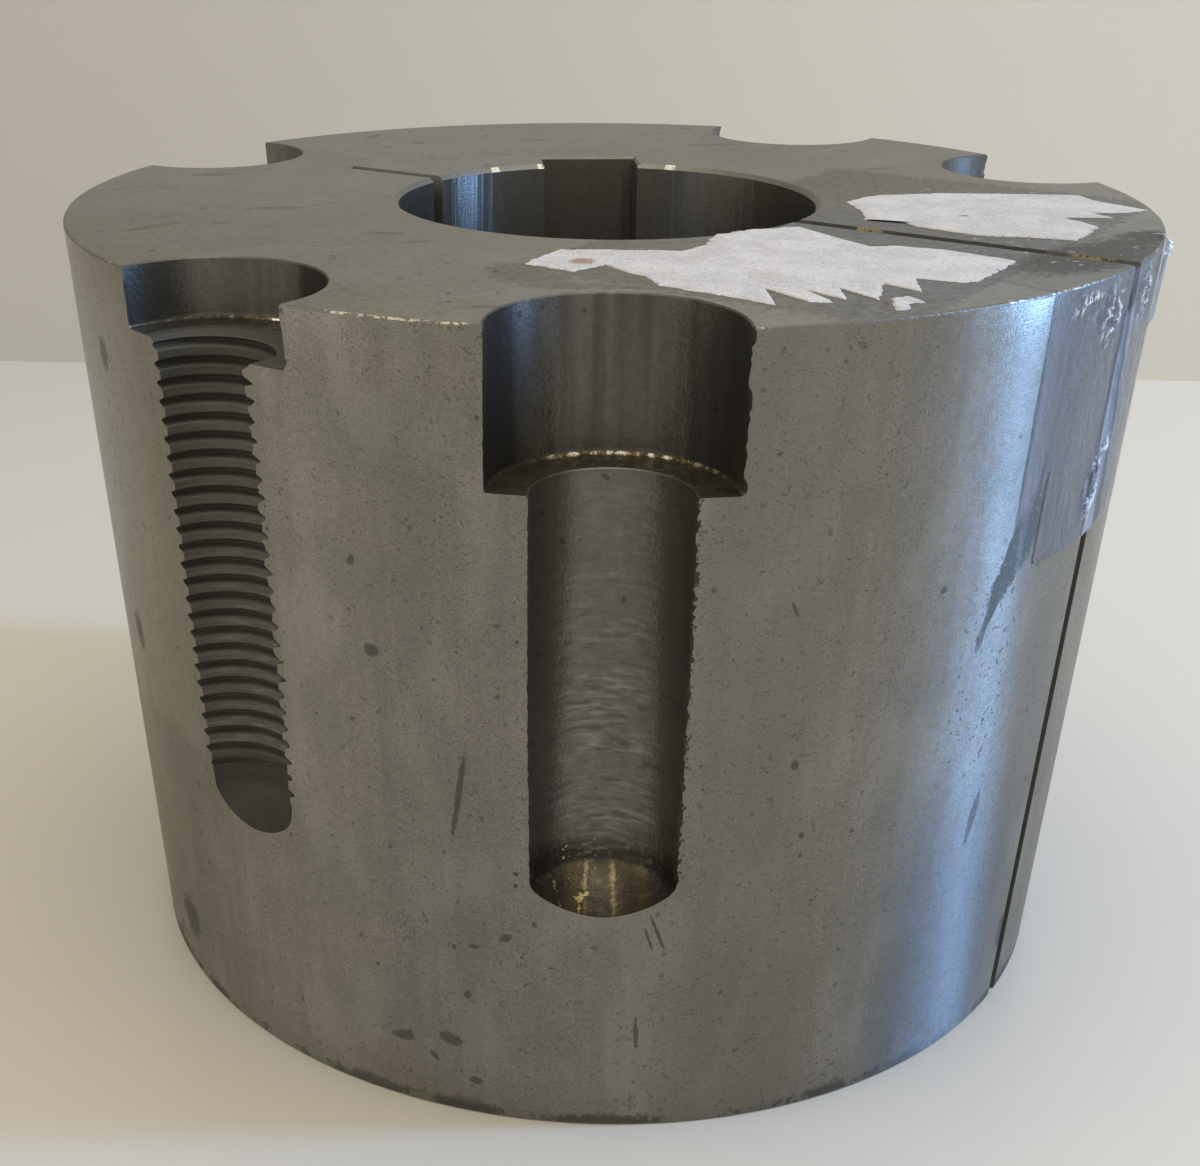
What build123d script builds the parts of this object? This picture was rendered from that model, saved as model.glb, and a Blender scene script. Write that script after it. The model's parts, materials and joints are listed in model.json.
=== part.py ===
# Taper bush: a split, tapered sleeve of cast iron that grips a shaft when screws draw it
# into the matching tapered bore of a hub.
#
# Frame: Z is the axis of the bush. It stands on its small end, which lies on Z = 0, with the
# large end up and the keyway on +Y. Lengths are in millimetres and angles in degrees,
# counted counter-clockwise from +X as seen from above.
import os
from math import cos, radians, sin, sqrt, tan

from build123d import *

# Tapered body
bush_length = 114.3
large_end_diameter = 161.925
taper_half_angle = 4.0
rim_edge_break = 0.5

# Shaft bore and its keyway, whose depth is measured at the keyway's side
bore_diameter = 63.5
bore_edge_break = 0.7
keyway_angle = 90.0
keyway_width = 15.875
keyway_side_depth = 7.94
keyway_edge_break = 1.0

# Saw cuts: the split goes right through the wall, the relief slot only part of the way
split_angle = keyway_angle - 127.5
split_width = 2.4
relief_slot_angle = split_angle + 182.0
relief_slot_width = 2.4
relief_slot_depth = 18.3

# Screw holes, which are drilled half into the bush and half into the hub. Every depth is
# measured from the large end, and a hole's depth ends where its drill point starts.
screw_circle_diameter = 156.4
head_recess_diameter = 30.0
drill_point_angle = 118.0

# Plain holes for the screws that pull the bush into the hub
fixing_hole_angles = [split_angle - 56.4, split_angle + 56.4, split_angle + 183.5]
fixing_hole_diameter = 19.6
fixing_hole_depth = 75.0
fixing_recess_depth = 20.4

# Holes at tapping size for the screws that push the bush out again
jacking_hole_angles = [split_angle - 96.0, split_angle + 96.0]
jacking_tap_diameter = 16.67
jacking_hole_depth = 73.2
jacking_recess_depth = 8.2

# How far a cutter runs past the surface that it opens
overrun = 2.0


def tapered_body():
    """The turned body: a cone's frustum with a plain bore and a small break on each edge."""
    large_radius = large_end_diameter / 2
    slope = tan(radians(taper_half_angle))
    small_radius = large_radius - bush_length * slope
    bore_radius = bore_diameter / 2
    half_section = Polyline(
        (bore_radius, bore_edge_break),
        (bore_radius + bore_edge_break, 0),
        (small_radius - rim_edge_break, 0),
        (small_radius + rim_edge_break * slope, rim_edge_break),
        (large_radius - rim_edge_break * slope, bush_length - rim_edge_break),
        (large_radius - rim_edge_break, bush_length),
        (bore_radius + bore_edge_break, bush_length),
        (bore_radius, bush_length - bore_edge_break),
        close=True,
    )
    return revolve(Plane.XZ * make_face(half_section), Axis.Z)


def radial_slot(angle, width, reach):
    """Cutter for a straight slot from the axis out to a radius, through both end faces."""
    height = bush_length + 2 * overrun
    slot = Pos(0, 0, -overrun) * Box(
        reach, width, height, align=(Align.MIN, Align.CENTER, Align.MIN)
    )
    return Rot(0, 0, angle) * slot


def keyway():
    """Cutter for the keyway, bevelled where its floor and sides meet each end face."""
    bore_radius = bore_diameter / 2
    floor_radius = sqrt(bore_radius**2 - (keyway_width / 2) ** 2) + keyway_side_depth
    slot = radial_slot(keyway_angle, keyway_width, floor_radius)
    opening = Rectangle(floor_radius, keyway_width, align=(Align.MIN, Align.CENTER))
    bevel_start = Pos(0, 0, bush_length - keyway_edge_break)
    bevel = Rot(0, 0, keyway_angle) * extrude(
        bevel_start * opening, amount=keyway_edge_break, taper=-45
    )
    return slot + bevel + mirror(bevel, about=Plane.XY.offset(bush_length / 2))


def half_hole(angle, diameter, depth, recess_depth):
    """Cutter for one screw hole on the rim: a drilled hole below the recess for the head."""
    radius = diameter / 2
    point_length = radius / tan(radians(drill_point_angle / 2))
    upwards = (Align.CENTER, Align.CENTER, Align.MIN)
    drilled = Pos(0, 0, bush_length - depth) * Cylinder(radius, depth + overrun, align=upwards)
    point = Pos(0, 0, bush_length - depth - point_length) * Cone(
        0, radius, point_length, align=upwards
    )
    recess = Pos(0, 0, bush_length - recess_depth) * Cylinder(
        head_recess_diameter / 2, recess_depth + overrun, align=upwards
    )
    return Rot(0, 0, angle) * Pos(screw_circle_diameter / 2, 0, 0) * (drilled + point + recess)


def taper_bush():
    """The finished bush as one solid."""
    bush = tapered_body() - keyway()
    past_the_rim = large_end_diameter / 2 + overrun
    bush -= radial_slot(split_angle, split_width, past_the_rim)
    slot_end = bore_diameter / 2 + relief_slot_depth
    bush -= radial_slot(relief_slot_angle, relief_slot_width, slot_end)
    for angle in fixing_hole_angles:
        bush -= half_hole(angle, fixing_hole_diameter, fixing_hole_depth, fixing_recess_depth)
    for angle in jacking_hole_angles:
        bush -= half_hole(angle, jacking_tap_diameter, jacking_hole_depth, jacking_recess_depth)
    return bush


os.makedirs("parts", exist_ok=True)
export_step(taper_bush(), "parts/taper_bush.step")
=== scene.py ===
import json
import math
from functools import reduce
from types import SimpleNamespace

import bpy
import numpy as np
from mathutils import Matrix, Vector

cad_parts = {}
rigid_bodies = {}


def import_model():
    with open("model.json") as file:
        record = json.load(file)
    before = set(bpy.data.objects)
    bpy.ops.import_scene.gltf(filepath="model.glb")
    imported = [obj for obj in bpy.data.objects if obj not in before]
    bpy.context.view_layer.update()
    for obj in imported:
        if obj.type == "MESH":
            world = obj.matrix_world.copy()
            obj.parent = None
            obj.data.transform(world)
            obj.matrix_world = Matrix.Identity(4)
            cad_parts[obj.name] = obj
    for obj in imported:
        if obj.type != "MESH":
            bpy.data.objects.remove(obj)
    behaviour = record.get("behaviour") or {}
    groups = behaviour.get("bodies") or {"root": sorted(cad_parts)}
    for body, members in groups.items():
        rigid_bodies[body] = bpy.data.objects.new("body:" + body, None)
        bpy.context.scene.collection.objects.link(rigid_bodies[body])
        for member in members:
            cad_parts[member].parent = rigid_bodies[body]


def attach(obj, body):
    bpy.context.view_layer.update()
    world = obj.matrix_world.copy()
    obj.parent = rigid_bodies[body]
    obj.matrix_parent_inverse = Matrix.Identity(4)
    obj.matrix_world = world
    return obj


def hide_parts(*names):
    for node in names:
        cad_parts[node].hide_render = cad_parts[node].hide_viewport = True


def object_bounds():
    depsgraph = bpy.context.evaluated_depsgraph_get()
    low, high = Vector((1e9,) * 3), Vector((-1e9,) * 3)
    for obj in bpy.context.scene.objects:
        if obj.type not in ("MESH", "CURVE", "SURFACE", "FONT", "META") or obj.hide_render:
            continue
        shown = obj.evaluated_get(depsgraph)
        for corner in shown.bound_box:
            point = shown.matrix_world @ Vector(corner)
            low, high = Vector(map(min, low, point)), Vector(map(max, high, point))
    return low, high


for leftover in list(bpy.data.objects):
    bpy.data.objects.remove(leftover)
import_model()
cadLow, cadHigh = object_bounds()
mm = 0.001
print("frame loaded, the CAD box in mm:", [round(v / mm, 2) for v in cadHigh - cadLow])


# Main sizes, in mm and degrees. The bush stands on its small end, with its axis on Z and the keyway towards +Y.
bush = {
    "length": (cadHigh.z - cadLow.z) / mm,
    "largeRadius": 80.9625,
    "taper": math.tan(math.radians(4)),   # how much the radius grows for each mm of height
    "rimBreak": 0.34,
    "columns": 720,
    "sideRows": 16,
    "splitAngle": -37.5,
    "arcRadius": 78,                      # where lengths round the side are measured
    "overrun": 2,                         # how far the cutters reach past the ends
}


def coneRadius(z):
    # radius of the tapered side at height z: the large radius less the taper times the way down from the top
    return bush["largeRadius"] - (bush["length"] - z) * bush["taper"]


def arcAt(degrees):
    # length round the side that belongs to an angle
    return degrees * math.radians(bush["arcRadius"])


def aimed(degrees):
    # unit vector along an angle, seen from above
    a = math.radians(degrees)
    return np.array([math.cos(a), math.sin(a)])


def latticeNoise(u, v, seed, wrap=64):
    # smooth noise from 0 to 1: random numbers on a square lattice, blended between the four nearest; it repeats
    # after wrap cells
    table = np.random.default_rng(seed).random((wrap, wrap))
    iu, iv = np.floor(u).astype(int), np.floor(v).astype(int)
    fu, fv = u - iu, v - iv
    fu, fv = fu * fu * (3 - 2 * fu), fv * fv * (3 - 2 * fv)
    a, b = table[iu % wrap, iv % wrap], table[(iu + 1) % wrap, iv % wrap]
    c, d = table[iu % wrap, (iv + 1) % wrap], table[(iu + 1) % wrap, (iv + 1) % wrap]
    return (a * (1 - fu) + b * fu) * (1 - fv) + (c * (1 - fu) + d * fu) * fv


def meshPiece(name, points, quads, triangles=(), smooth=True):
    # puts arrays of points (mm) and of quad and triangle corners into a new object at the origin
    mesh = bpy.data.meshes.new(name)
    corners = np.concatenate([np.ravel(quads), np.ravel(triangles)]).astype(np.int32)
    starts = np.concatenate([np.arange(len(quads)) * 4, len(quads) * 4 + np.arange(len(triangles)) * 3])
    mesh.vertices.add(len(points))
    mesh.vertices.foreach_set("co", (np.asarray(points, float) * mm).astype(np.float32).ravel())
    mesh.loops.add(len(corners))
    mesh.loops.foreach_set("vertex_index", corners)
    mesh.polygons.add(len(starts))
    mesh.polygons.foreach_set("loop_start", starts.astype(np.int32))
    mesh.polygons.foreach_set("use_smooth", np.full(len(starts), smooth))
    mesh.update(calc_edges=True)
    mesh.validate()
    piece = bpy.data.objects.new(name, mesh)
    bpy.context.scene.collection.objects.link(piece)
    return piece


def gridQuads(rows, columns, closed=False):
    # corner numbers of the quads between rows x columns points; a closed grid joins its last column to its first
    steps = np.arange(columns if closed else columns - 1)
    row, column = np.meshgrid(np.arange(rows - 1) * columns, steps, indexing="ij")
    after = (column + 1) % columns
    corners = [row + column, row + after, row + columns + after, row + columns + column]
    return np.stack(corners, -1).reshape(-1, 4)


def lathe(name, radii, heights, phi, centre=(0, 0), turn=0):
    # closed turned solid: ring i has radius radii[i] (one number, or one for each column) at heights[i], and both
    # ends close on a pole
    columns = len(phi)
    radii = np.broadcast_to(np.asarray(radii, float).reshape(len(heights), -1), (len(heights), columns))
    z = np.broadcast_to(np.asarray(heights, float)[:, None], radii.shape)
    x, y = centre[0] + radii * np.cos(phi + turn), centre[1] + radii * np.sin(phi + turn)
    poles = [[*centre, heights[0]], [*centre, heights[-1]]]
    step, pole = np.arange(columns), np.full(columns, radii.size)
    after, last = (step + 1) % columns, radii.size - columns
    caps = np.vstack([np.stack([after, step, pole], -1), np.stack([last + step, last + after, pole + 1], -1)])
    points = np.vstack([np.stack([x, y, z], -1).reshape(-1, 3), poles])
    return meshPiece(name, points, gridQuads(len(heights), columns, True), caps)


# The half-holes along the side, in mm and degrees. The drill leaves the side that lies counter-clockwise ragged.
halfHoles = {
    "circle": 78.2,
    "headRadius": 15,
    "headRow": 0.65,            # height of one row of faces in the recess
    "headMouth": 0.2,           # bevel where the recess opens
    "columns": 128,
    "crowding": 0.35,           # how far the columns crowd towards the two edges that meet the side
    "raggedReach": 0.45,
    "raggedCoarse": 1.2,
    "raggedFine": 0.42,
}
plain = {
    "name": "plainCutter",
    "angles": (-93.9, 18.9, 146),
    "radius": 9.8,
    "floor": 93.9,
    "end": 39.3,
    "point": 4.85,
    "pointPower": 1.5,
    "pointRows": 26,
    "wall": (0.36, 0.4, 0.36),  # first row above the end, last row below the floor, row height
    "collar": (),               # further row below the floor
    "leadIn": (9.8, 9.98, 0.18),            # two radii and a depth
    "floorRadii": (11.5, 13.2),
    "corner": (0.45, 0.13),
    "headStart": 1.1,
    "seed": 0,
}
tapped = {
    "name": "tappedCutter",
    "angles": (-133.5, 58.5),
    "radius": 8.335,
    "floor": 106.1,
    "end": 41.1,
    "point": 4.6,
    "pointPower": 1.7,
    "pointRows": 18,
    "wall": (0.5, 1.5, 0.8),
    "collar": (1,),
    "leadIn": (9.32, 9.62, 0.35),
    "floorRadii": (11.2, 13.2),
    "corner": (0.4, 0.12),
    "headStart": 1,
    "seed": 50,
}
thread = {
    "majorRadius": 9.42,        # worn, and a little under the nominal 9.525
    "pitch": 2.54,
    "lowest": 42.2,
    "above": 3.4,               # how far it is carried on past the recess floor
    "runout": 2.2,              # the tap's lead, over which the thread fades out
    "columns": 80,
    "seed": 90,
    "stations": (0, 0.06, 0.12, 0.19, 0.26, 0.33, 0.5, 0.67, 0.74, 0.81, 0.88, 0.94),
    # from 0 on the crest to 1 at the root
    "depths": (1, 0.95, 0.78, 0.44, 0.14, 0.02, 0, 0.02, 0.14, 0.44, 0.78, 0.95),
}


def crowdedColumns(count, crowding):
    # column angles round a half-hole: an even step, crowded by the sine of twice the angle towards +-90 degrees
    step = np.linspace(0, 2 * math.pi, count, endpoint=False)
    return step + crowding * np.sin(2 * step)


def raggedEdge(radius, phi, z, angle, seed):
    # adds chips to a half-hole: noise along the height, strongest where the hole's wall comes within about half a
    # mm of the tapered side
    x, y = halfHoles["circle"] * aimed(angle)
    turned = phi + math.radians(angle)
    inside = coneRadius(z) - np.hypot(x + radius * np.cos(turned), y + radius * np.sin(turned))
    near = np.exp(-(inside / halfHoles["raggedReach"]) ** 2)
    burred = np.where(np.sin(phi) > 0, 1, 0.25)
    coarse = np.clip(latticeNoise(z / 0.7, phi * 2, seed) - 0.55, 0, 1) * halfHoles["raggedCoarse"]
    fine = (latticeNoise(z / 0.3, phi * 4, seed + 1) - 0.25) * halfHoles["raggedFine"]
    return radius + near * burred * (coarse + fine)


def holeCutter(kind, number, angle):
    # profile from the drill point up: worn point (its radius and its depth, each to the given power, add up to
    # one), wall, small lead-in, recess floor, rounded corner, recess wall
    head, mouth, top = halfHoles["headRadius"], halfHoles["headMouth"], bush["length"]
    end, floor, power = kind["end"], kind["floor"], kind["pointPower"]
    depth = np.cos(np.linspace(0.06, math.pi / 2, kind["pointRows"]))
    first, last, step = kind["wall"]
    wall = np.append(np.arange(end + first, floor - last, step), floor - np.array(kind["collar"]))
    inner, outer, lead = kind["leadIn"]
    corner, part = kind["corner"]
    recess = np.arange(floor + kind["headStart"], top - mouth, halfHoles["headRow"])
    profile = [
        (kind["radius"] * (1 - depth ** power) ** (1 / power), end - kind["point"] * depth),
        (np.full(len(wall), kind["radius"]), wall),
        ([inner, outer], [floor - lead, floor]),
        ([*kind["floorRadii"], head - corner, head - part, head], [floor] * 3 + [floor + part, floor + corner]),
        (np.full(len(recess), head), recess),
        ([head, head + mouth, head + mouth], [top - mouth, top, top + bush["overrun"]]),
    ]
    r, z = (np.concatenate(column) for column in zip(*profile))
    phi = crowdedColumns(halfHoles["columns"], halfHoles["crowding"])
    even = np.repeat(r[:, None], len(phi), 1)
    ragged = raggedEdge(even, phi[None], z[:, None], angle, kind["seed"] + 10 * number)
    radii = np.where(z[:, None] < end, even, ragged)
    centre = halfHoles["circle"] * aimed(angle)
    return lathe(f"{kind['name']}{number}", radii, z, phi, centre, math.radians(angle))


def threadCutter(number, angle):
    # right-hand thread: a row climbs one pitch in a turn, its radius follows the 60 degree profile, and its last
    # column joins the row one pitch higher
    t, columns = thread, thread["columns"]
    stations, depths = np.array(t["stations"]), np.array(t["depths"])
    perTurn = len(stations)
    rows = perTurn * int((tapped["floor"] + t["above"] - t["lowest"]) / t["pitch"])
    phi = crowdedColumns(columns, halfHoles["crowding"] * 0.8)
    row = np.arange(rows)
    start = t["lowest"] + t["pitch"] * (row // perTurn + stations[row % perTurn])
    z = start[:, None] + t["pitch"] * phi[None] / (2 * math.pi)
    fade = np.clip((z - t["lowest"] - 1) / t["runout"], 0, 1)
    core = tapped["radius"] - 0.06
    radius = core + (t["majorRadius"] - core) * depths[row % perTurn][:, None] * fade
    radius = raggedEdge(radius, phi[None], z, angle, t["seed"] + 10 * number)
    turned, (cx, cy) = phi + math.radians(angle), halfHoles["circle"] * aimed(angle)
    ring = np.stack([cx + radius * np.cos(turned), cy + radius * np.sin(turned), z], -1).reshape(-1, 3)
    at = np.arange(rows * columns).reshape(rows, columns)
    upTo = rows - perTurn
    inner = np.stack([at[:-1, :-1], at[:-1, 1:], at[1:, 1:], at[1:, :-1]], -1).reshape(-1, 4)
    seam = np.stack([at[:upTo - 1, -1], at[perTurn:-1, 0], at[perTurn + 1:, 0], at[1:upTo, -1]], -1)
    bottom = np.concatenate([at[0], at[perTurn:0:-1, 0]])
    top = np.concatenate([at[-1], at[upTo - 1:rows - 1, -1][::-1]])
    points = np.vstack([ring, [cx, cy, t["lowest"] + t["pitch"] / 2], [cx, cy, z[-1].mean()]])
    caps = np.vstack([
        np.stack([np.roll(bottom, -1), bottom, np.full(len(bottom), len(ring))], -1),
        np.stack([top, np.roll(top, -1), np.full(len(top), len(ring) + 1)], -1),
    ])
    return meshPiece(f"threadCutter{number}", points, np.vstack([inner, seam]), caps)


# The bore, its keyway, and the two slits, in mm and degrees
bore = {
    "radius": 31.75,
    "edgeBreak": 0.7,
    "columns": 256,
    "keyWidth": 15.875,
    "keyFloor": 38.68,
    "keyStart": 10,
    "keyBevel": 0.4,
    "slitWidth": 2.4,
    "slitStart": 20,
    "splitReach": 100,
    "slotAngle": 144.5,
    "slotReach": 50,
}


def boreCutter():
    # turned hole right through, flared at both ends by its edge break
    e, top, over = bore["edgeBreak"], bush["length"], bush["overrun"]
    low = [(-over, e), (-0.001, e), (e * 0.5, e * 0.42), (e, 0)]
    middle = [(top * 0.25, 0), (top * 0.5, 0), (top * 0.75, 0)]
    high = [(top - e, 0), (top - e * 0.5, e * 0.42), (top + 0.001, e), (top + over, e)]
    z, flare = np.array(low + middle + high).T
    phi = np.linspace(0, 2 * math.pi, bore["columns"], endpoint=False)
    return lathe("boreCutter", bore["radius"] + flare, z, phi)


def keyCutter():
    # slot towards +Y, carried up the bush as one loop of four corners that widens by the bevel at both ends
    bevel, top, over = bore["keyBevel"], bush["length"], bush["overrun"]
    z = np.array([-over, 0, bevel, top - bevel, top, top + over])
    grow = np.array([bevel + over, bevel, 0, 0, bevel, bevel + over])
    half, far, near = bore["keyWidth"] / 2 + grow, bore["keyFloor"] + grow, np.full(len(z), bore["keyStart"])
    sides = ((half, near), (half, far), (-half, far), (-half, near))
    loop = np.stack([np.stack([x, y, z], -1) for x, y in sides], 1)
    last = (len(z) - 1) * 4
    quads = np.vstack([gridQuads(len(z), 4, True), [[3, 2, 1, 0]], [[last, last + 1, last + 2, last + 3]]])
    return meshPiece("keyCutter", loop.reshape(-1, 3), quads)


def slabCutter(name, angle, reach):
    # upright slab that reaches out along one angle: the eight corners are its two half widths, two radii and two
    # heights
    half, start = bore["slitWidth"] / 2, bore["slitStart"]
    along = aimed(angle)
    across = np.array([-along[1], along[0]])
    heights = (-bush["overrun"], bush["length"] + bush["overrun"])
    loop = ((start, -half), (reach, -half), (reach, half), (start, half))
    points = [(*(r * along + w * across), z) for z in heights for r, w in loop]
    quads = [(3, 2, 1, 0), (4, 5, 6, 7), (0, 1, 5, 4), (1, 2, 6, 5), (2, 3, 7, 6), (3, 0, 4, 7)]
    return meshPiece(name, points, quads)


def turnedBlank():
    # the blank as the lathe leaves it: the tapered side between two flat ends, with a small rounded edge break at
    # each rim
    k, top = bush["rimBreak"], bush["length"]
    side = np.linspace(k, top - k, bush["sideRows"])
    foot, rim = coneRadius(0), coneRadius(top)
    r = np.concatenate([[20, 45, foot - k, foot - k * 0.35], coneRadius(side), [rim - k * 0.35, rim - k, 45, 20]])
    z = np.concatenate([[0, 0, 0, k * 0.3], side, [top - k * 0.3, top, top, top]])
    return lathe("bushBody", r, z, np.linspace(0, 2 * math.pi, bush["columns"], endpoint=False))


def cutBody():
    # the blank less each cutter in turn
    body = turnedBlank()
    cutters = [boreCutter(), keyCutter(), slabCutter("splitCutter", bush["splitAngle"], bore["splitReach"])]
    cutters += [slabCutter("slotCutter", bore["slotAngle"], bore["slotReach"])]
    cutters += [holeCutter(plain, i, a) for i, a in enumerate(plain["angles"])]
    for i, a in enumerate(tapped["angles"]):
        cutters += [holeCutter(tapped, i, a), threadCutter(i, a)]
    for cutter in cutters:
        cut = body.modifiers.new(cutter.name, "BOOLEAN")
        cut.operation, cut.solver, cut.object = "DIFFERENCE", "MANIFOLD", cutter
    graph = bpy.context.evaluated_depsgraph_get()
    cutMesh = bpy.data.meshes.new_from_object(body.evaluated_get(graph))
    body.modifiers.clear()
    body.data = cutMesh
    body.data.materials.clear()
    for cutter in cutters:
        bpy.data.objects.remove(cutter)
    return body


body = cutBody()
body.name = body.data.name = "bushBody"
triangleCount = sum(len(p.vertices) - 2 for p in body.data.polygons)
print("body cut:", len(body.data.vertices), "points,", triangleCount, "triangles")


# Faces are sorted by where they lie; a zone's number is also the number of its material
sideZone, endZone, boreZone, holeZone, rimZone, slitZone, floorZone, threadZone = range(8)


def sortFaces(mesh):
    # a face's zone follows from its centre's radius, height and distance from each slit and hole, and from the way
    # it faces
    count = len(mesh.polygons)
    centre, normal = np.zeros(count * 3), np.zeros(count * 3)
    mesh.polygons.foreach_get("center", centre)
    mesh.polygons.foreach_get("normal", normal)
    (x, y, z), (nx, ny, nz) = (centre.reshape(-1, 3) / mm).T, normal.reshape(-1, 3).T
    r, top, up = np.hypot(x, y), bush["length"], np.abs(nz)
    outward = (nx * x + ny * y) / np.maximum(r, 1e-6)

    def nearEnds(depth):
        return (z < depth) | (z > top - depth)

    inBore = r < bore["radius"] + 0.75
    inKey = (np.abs(x) < bore["keyWidth"] / 2 + 1.1) & (y > 0) & (y < bore["keyFloor"] + 1.1)
    atRim = nearEnds(bush["rimBreak"] + 0.01) & (r > coneRadius(z) - 0.7) & (outward > 0.2) & (up > 0.2)
    atBore = nearEnds(bore["edgeBreak"] + 0.01) & inBore & (outward < -0.2) & (up > 0.2) & (up < 0.99)
    zone = np.full(count, holeZone)
    zone[inBore | inKey] = boreZone
    for angle in (bush["splitAngle"], bore["slotAngle"]):
        c, s = aimed(angle)
        zone[(np.abs(-x * s + y * c) < bore["slitWidth"] / 2 + 0.02) & (x * c + y * s > 30)] = slitZone
    for kind in (plain, tapped):
        for angle in kind["angles"]:
            cx, cy = halfHoles["circle"] * aimed(angle)
            reach, above = np.hypot(x - cx, y - cy), z - kind["floor"]
            onFloor = (reach < halfHoles["headRadius"] + 0.6) & (reach > 9.9) & (above > -0.05) & (above < 0.5)
            zone[onFloor] = floorZone
            if kind is tapped:
                zone[(reach < 10.6) & (above < 0.05)] = threadZone
    zone[(np.abs(r - coneRadius(z)) < 0.03) & (outward > 0.95)] = sideZone
    zone[(up > 0.999) & nearEnds(0.02)] = endZone
    zone[atRim | atBore] = rimZone
    return zone


zones = sortFaces(body.data)
body.data.polygons.foreach_set("material_index", zones.astype(np.int32))
body.data.set_sharp_from_angle(angle=math.radians(32))
print("faces by zone:", np.bincount(zones, minlength=8).tolist())


class Wire:
    # an output of a shader node; arithmetic with it adds Math nodes to the same tree
    def __init__(self, socket):
        self.socket, self.tree = socket, socket.id_data

    def signs(operation):
        # the two methods behind an arithmetic sign, with the wire on its left and on its right
        return lambda a, b: calc(operation, a, b), lambda a, b: calc(operation, b, a)

    __add__, __radd__ = signs("ADD")
    __sub__, __rsub__ = signs("SUBTRACT")
    __mul__, __rmul__ = signs("MULTIPLY")
    __truediv__, __rtruediv__ = signs("DIVIDE")

    def __abs__(self):
        return calc("ABSOLUTE", self)

    def ramp(self, low, high, toLow=0, toHigh=1):
        # smooth step from toLow to toHigh while the value goes from low to high
        inputs = {"Value": self, "From Min": low, "From Max": high, "To Min": toLow, "To Max": toHigh}
        return addNode(self.tree, "ShaderNodeMapRange", inputs, interpolation_type="SMOOTHSTEP")

    def clamped(self):
        # keeps the last sum or product between 0 and 1
        self.socket.node.use_clamp = True
        return self


def feed(socket, value):
    # links a wire to a node's input, or sets the input to a plain value
    if isinstance(value, Wire):
        socket.id_data.links.new(value.socket, socket)
    else:
        socket.default_value = (*value, 1) if socket.type == "RGBA" else value


def addNode(tree, kind, inputs, output=0, **settings):
    # adds a node, feeds the inputs named or numbered, and returns one output; with output None it returns them all
    made = tree.nodes.new(kind)
    for key, value in settings.items():
        setattr(made, key, value)
    for key, value in inputs.items():
        feed(made.inputs[key], value)
    return wiresOf(made) if output is None else Wire(made.outputs[output])


def wiresOf(node):
    # a node's outputs by name
    return SimpleNamespace(**{socket.name: Wire(socket) for socket in node.outputs if socket.name})


def treeOf(values):
    # the node tree of the first wire among some values
    return next(value.tree for value in values if isinstance(value, Wire))


def calc(operation, *values):
    # Math node on one to three values, at least one of them a wire
    return addNode(treeOf(values), "ShaderNodeMath", dict(zip(range(3), (*values, 0, 0))), operation=operation)


def highest(*values):
    return reduce(lambda a, b: calc("MAXIMUM", a, b), values)


def noise(point, scale, detail=3, roughness=0.55):
    inputs = {"Vector": point, "Scale": scale, "Detail": detail, "Roughness": roughness}
    return addNode(point.tree, "ShaderNodeTexNoise", inputs, "Fac")


def join(x, y, z):
    # vector from three values
    return addNode(treeOf((x, y, z)), "ShaderNodeCombineXYZ", {0: x, 1: y, 2: z})


def blend(share, a, b):
    # colour that goes from a to b while share goes from 0 to 1
    return addNode(treeOf((share, a, b)), "ShaderNodeMix", {0: share, 6: a, 7: b}, 2, data_type="RGBA")


def lay(colour, over, share):
    # lays one of the finish colours over another colour
    return blend(share, colour, finish[over])


def socketKind(isVector):
    return "NodeSocketVector" if isVector else "NodeSocketFloat"


def openGroup(name, **inputs):
    # node group with one input for each name, a vector or a number like its start value
    tree = bpy.data.node_groups.new(name, "ShaderNodeTree")
    for title, start in inputs.items():
        kind = socketKind(isinstance(start, tuple))
        tree.interface.new_socket(title, in_out="INPUT", socket_type=kind).default_value = start
    return tree, wiresOf(tree.nodes.new("NodeGroupInput"))


def closeGroup(tree, **outputs):
    # ends a node group with one output for each name
    for title, wire in outputs.items():
        tree.interface.new_socket(title, in_out="OUTPUT", socket_type=socketKind(wire.socket.type == "VECTOR"))
    end = tree.nodes.new("NodeGroupOutput")
    for title, wire in outputs.items():
        feed(end.inputs[title], wire)
    return tree


def useGroup(group, tree=None, **values):
    # all outputs of a node group that is fed these values
    return addNode(tree or treeOf(values.values()), "ShaderNodeGroup", values, None, node_tree=group)


def makePlaceGroup():
    # where a point lies on the bush, in mm: its place, distance from the axis, height, arc length round the axis, and
    # the same arc wound clockwise from the split, so that a pattern laid along it breaks only where the casting is cut
    tree, _ = openGroup("placeOnBush")
    found = addNode(tree, "ShaderNodeTexCoord", {}, "Object")
    point = addNode(tree, "ShaderNodeVectorMath", {0: found, "Scale": 1 / mm}, operation="SCALE")
    place = addNode(tree, "ShaderNodeSeparateXYZ", {0: point}, None)
    angle = calc("ARCTAN2", place.Y, place.X)
    radius = calc("SQRT", place.X * place.X + place.Y * place.Y)
    past = calc("GREATER_THAN", angle, math.radians(bush["splitAngle"]))
    wound = (angle - past * (2 * math.pi)) * bush["arcRadius"]
    arc = angle * bush["arcRadius"]
    return closeGroup(tree, point=point, x=place.X, y=place.Y, radius=radius, height=place.Z, arc=arc, wound=wound)


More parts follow.
